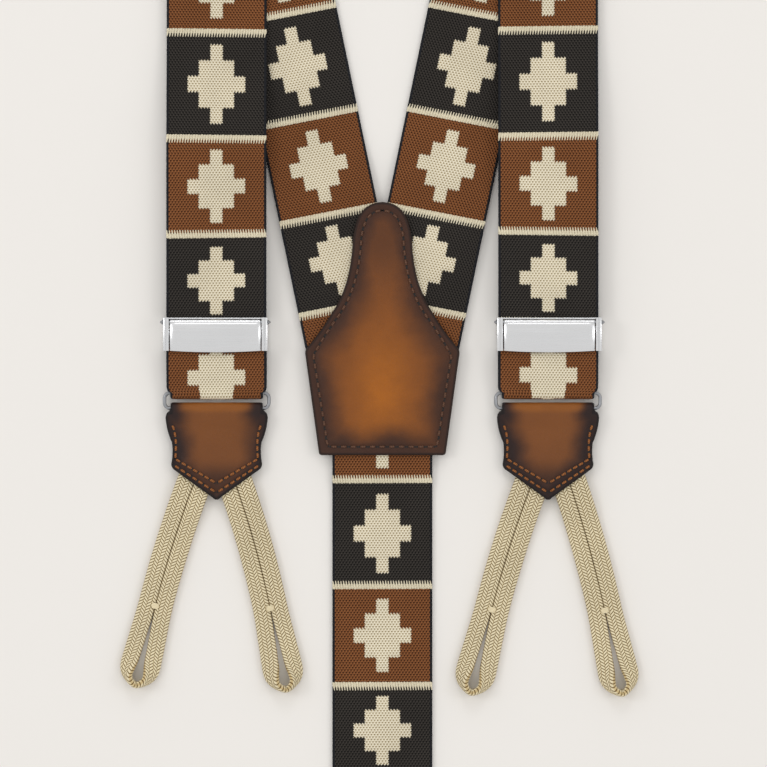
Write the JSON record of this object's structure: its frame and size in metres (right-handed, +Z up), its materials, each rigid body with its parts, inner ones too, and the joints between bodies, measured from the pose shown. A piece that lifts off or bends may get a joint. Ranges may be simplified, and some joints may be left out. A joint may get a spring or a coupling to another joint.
{
  "type": "suspenders",
  "caption": "Y-back button braces of patterned elastic webbing with a leather junction patch, flip-lever adjusters, wire rings, leather tabs and braided button loops.",
  "frame": {"origin": "below the middle of the braces as laid flat, on the surface that they lie on, measured without the braided button loops", "axes": "+X across the braces to the right as seen from above, +Y from the back tab towards the shoulders, +Z up out of the patterned face"},
  "size_m": [0.2258, 0.7899, 0.0088],
  "materials": {
    "webbing": "jacquard elastic webbing in brown and charcoal blocks with cream stepped crosses",
    "burnished_leather": "smooth tan calf leather, hand burnished to near black at the margins",
    "lining_leather": "dark brown backing leather, matt",
    "tan_thread": "waxed orange-brown thread",
    "dark_thread": "waxed dark brown thread",
    "polished_steel": "polished nickel-plated steel",
    "wire_steel": "satin steel wire",
    "braid_cotton": "flat herringbone braid of undyed cotton cord"
  },
  "bodies": {
    "root": {"left_back_leg": "webbing", "left_shoulder_fold": "webbing", "left_front_strap": "webbing", "left_front_run": "webbing", "right_back_leg": "webbing", "right_shoulder_fold": "webbing", "right_front_strap": "webbing", "right_front_run": "webbing", "patch_leather": "burnished_leather", "patch_backing": "lining_leather", "patch_stitching": "dark_thread", "back_strap": "webbing", "back_seam": "dark_thread"},
    "left_strap_bight": {"left_strap_turn": "webbing"},
    "left_adjuster": {"left_return_run": "webbing", "left_tail_seam": "dark_thread", "left_adjuster_frame": "polished_steel", "left_rear_bar": "polished_steel", "left_pivot_pin": "wire_steel"},
    "left_lever": {"left_lever": "polished_steel"},
    "left_ring": {"left_ring": "wire_steel"},
    "left_tab": {"left_tab": "burnished_leather", "left_tab_stitching": "tan_thread", "left_outer_braid": "braid_cotton", "left_inner_braid": "braid_cotton", "left_bar_tacks": "braid_cotton"},
    "right_strap_bight": {"right_strap_turn": "webbing"},
    "right_adjuster": {"right_return_run": "webbing", "right_tail_seam": "dark_thread", "right_adjuster_frame": "polished_steel", "right_rear_bar": "polished_steel", "right_pivot_pin": "wire_steel"},
    "right_lever": {"right_lever": "polished_steel"},
    "right_ring": {"right_ring": "wire_steel"},
    "right_tab": {"right_tab": "burnished_leather", "right_tab_stitching": "tan_thread", "right_outer_braid": "braid_cotton", "right_inner_braid": "braid_cotton", "right_bar_tacks": "braid_cotton"},
    "back_ring": {"back_ring": "wire_steel"},
    "back_tab": {"back_tab": "burnished_leather", "back_tab_stitching": "tan_thread", "back_left_braid": "braid_cotton", "back_right_braid": "braid_cotton", "back_bar_tacks": "braid_cotton"}
  },
  "joints": [
    {"name": "left_length_slide", "type": "slide", "parent": "root", "child": "left_strap_bight", "axis": [0, 1, 0], "range_m": [0, 0.025], "deforming": ["left_front_run", "left_return_run"]},
    {"name": "left_adjuster_slide", "type": "slide", "parent": "left_strap_bight", "child": "left_adjuster", "axis": [0, 1, 0], "range_m": [0, 0.025], "deforming": ["left_front_run", "left_return_run"]},
    {"name": "left_lever_hinge", "type": "hinge", "parent": "left_adjuster", "child": "left_lever", "pos_m": [-0.0583, -0.07734, 0.0074], "axis": [-1, 0, 0], "range_deg": [0, 100]},
    {"name": "left_ring_hinge", "type": "hinge", "parent": "left_strap_bight", "child": "left_ring", "pos_m": [-0.058, -0.10194, 0.0023], "axis": [-1, 0, 0], "range_deg": [0, 90]},
    {"name": "left_tab_hinge", "type": "hinge", "parent": "left_ring", "child": "left_tab", "pos_m": [-0.058, -0.10744, 0.0023], "axis": [-1, 0, 0], "range_deg": [0, 60]},
    {"name": "right_length_slide", "type": "slide", "parent": "root", "child": "right_strap_bight", "axis": [0, 1, 0], "range_m": [0, 0.025], "deforming": ["right_front_run", "right_return_run"]},
    {"name": "right_adjuster_slide", "type": "slide", "parent": "right_strap_bight", "child": "right_adjuster", "axis": [0, 1, 0], "range_m": [0, 0.025], "deforming": ["right_front_run", "right_return_run"]},
    {"name": "right_lever_hinge", "type": "hinge", "parent": "right_adjuster", "child": "right_lever", "pos_m": [0.0583, -0.07734, 0.0074], "axis": [-1, 0, 0], "range_deg": [0, 100]},
    {"name": "right_ring_hinge", "type": "hinge", "parent": "right_strap_bight", "child": "right_ring", "pos_m": [0.058, -0.10194, 0.0023], "axis": [-1, 0, 0], "range_deg": [0, 90]},
    {"name": "right_tab_hinge", "type": "hinge", "parent": "right_ring", "child": "right_tab", "pos_m": [0.058, -0.10744, 0.0023], "axis": [-1, 0, 0], "range_deg": [0, 60]},
    {"name": "back_ring_hinge", "type": "hinge", "parent": "root", "child": "back_ring", "pos_m": [0, -0.32374, 0.0023], "axis": [-1, 0, 0], "range_deg": [0, 90]},
    {"name": "back_tab_hinge", "type": "hinge", "parent": "back_ring", "child": "back_tab", "pos_m": [0, -0.32924, 0.0023], "axis": [-1, 0, 0], "range_deg": [0, 60]}
  ],
  "couplings": [
    {"joint": "left_adjuster_slide", "follows": "left_length_slide", "ratio": 1},
    {"joint": "right_adjuster_slide", "follows": "right_length_slide", "ratio": 1}
  ]
}
